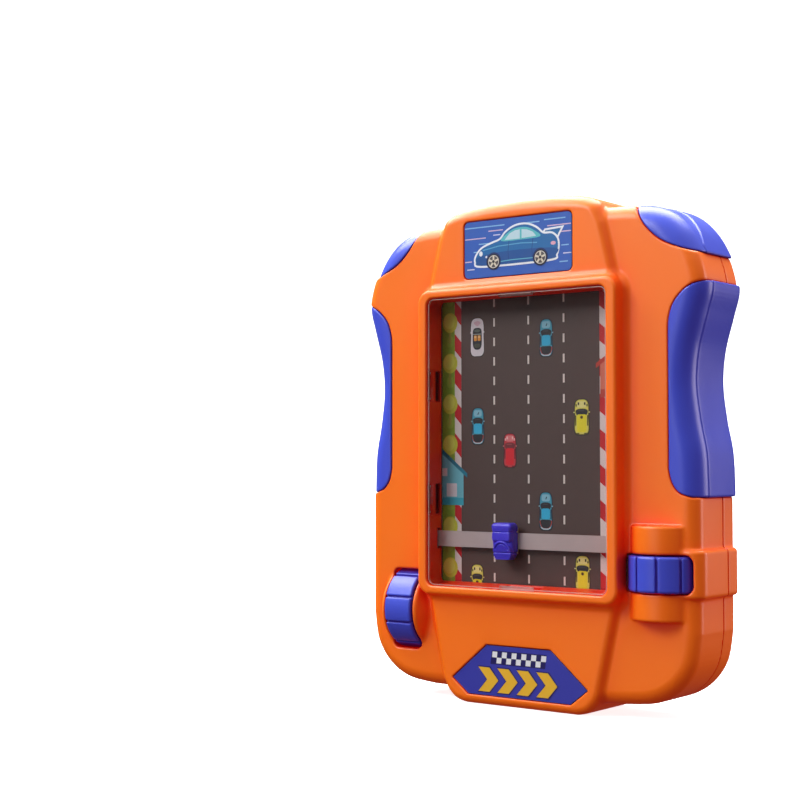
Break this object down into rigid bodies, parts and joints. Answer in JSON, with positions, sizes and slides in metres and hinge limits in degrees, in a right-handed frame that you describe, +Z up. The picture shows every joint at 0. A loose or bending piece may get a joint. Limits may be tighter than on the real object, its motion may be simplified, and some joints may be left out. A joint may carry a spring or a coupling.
{
  "type": "handheld road racing game",
  "caption": "Hand-turned toy game: a printed road film scrolls behind a clear window while a thumbwheel slides a small car across the lanes.",
  "frame": {"origin": "middle of the footprint, on the surface that the toy stands on", "axes": "+Z up the front face, +X to the player's right, -Y out of the window towards the player"},
  "size_m": [0.1508, 0.039, 0.1891],
  "materials": {
    "shell_orange": "satin-gloss moulded ABS, orange",
    "trim_violet": "satin-gloss moulded ABS, blue-violet",
    "clear_window": "clear polished polystyrene",
    "picture_print": "printed card under a gloss film, blue",
    "badge_print": "printed card under a gloss film, deep blue",
    "film_print": "printed polyester film, road grey",
    "belt_frosted": "frosted translucent strip",
    "car_violet": "gloss moulded plastic, blue-violet",
    "inner_white": "natural moulded plastic",
    "steel": "bright zinc-plated steel"
  },
  "bodies": {
    "root": {"front_shell": "shell_orange", "rear_shell": "shell_orange", "window_lens": "clear_window", "picture_plate": "picture_print", "badge_plate": "badge_print", "grip_right": "trim_violet", "grip_left": "trim_violet", "corner_cap_right": "trim_violet", "corner_cap_left": "trim_violet", "road_film": "film_print", "film_guide_plate": "inner_white", "film_frame_left": "inner_white", "film_frame_right": "inner_white", "wheel_bearing": "inner_white", "steering_bracket": "inner_white", "idler_bracket": "inner_white", "idler_pin": "steel", "car_belt": "belt_frosted", "shell_screw_1": "steel", "shell_screw_2": "steel", "shell_screw_3": "steel", "shell_screw_4": "steel", "shell_screw_5": "steel", "shell_screw_6": "steel", "frame_screw_1": "steel", "frame_screw_2": "steel", "frame_screw_3": "steel", "frame_screw_4": "steel", "steering_bracket_screw_1": "steel", "steering_bracket_screw_2": "steel", "idler_bracket_screw_1": "steel", "idler_bracket_screw_2": "steel", "wheel_bearing_screw_1": "steel", "wheel_bearing_screw_2": "steel"},
    "drive_roller": {"speed_wheel": "trim_violet", "lower_roller": "inner_white", "lower_axle": "steel"},
    "idler_roller": {"upper_roller": "inner_white", "upper_axle": "steel"},
    "steering": {"steering_wheel": "trim_violet", "steering_drum": "inner_white", "steering_axle": "steel"},
    "belt_idler": {"idler_drum": "inner_white"},
    "car": {"game_car": "car_violet", "car_clip": "inner_white"}
  },
  "joints": [
    {"name": "speed_wheel_spin", "type": "hinge", "parent": "root", "child": "drive_roller", "pos_m": [0, -0.0035, 0.0336], "axis": [1, 0, 0], "continuous": true},
    {"name": "upper_roller_spin", "type": "hinge", "parent": "root", "child": "idler_roller", "pos_m": [0, -0.0035, 0.1634], "axis": [1, 0, 0], "continuous": true},
    {"name": "steering_spin", "type": "hinge", "parent": "root", "child": "steering", "pos_m": [0.0569, -0.0059, 0.0518], "axis": [0, 0, 1], "range_deg": [-229, 458]},
    {"name": "belt_idler_spin", "type": "hinge", "parent": "root", "child": "belt_idler", "pos_m": [-0.05, -0.0059, 0.0613], "axis": [0, 0, 1], "range_deg": [-230, 460]},
    {"name": "car_slide", "type": "slide", "parent": "root", "child": "car", "axis": [1, 0, 0], "range_m": [-0.0154, 0.0308]}
  ],
  "couplings": [
    {"joint": "upper_roller_spin", "follows": "speed_wheel_spin", "ratio": 1},
    {"joint": "belt_idler_spin", "follows": "steering_spin", "ratio": 1},
    {"joint": "car_slide", "follows": "steering_spin", "m_per_rad": 0.00385}
  ]
}
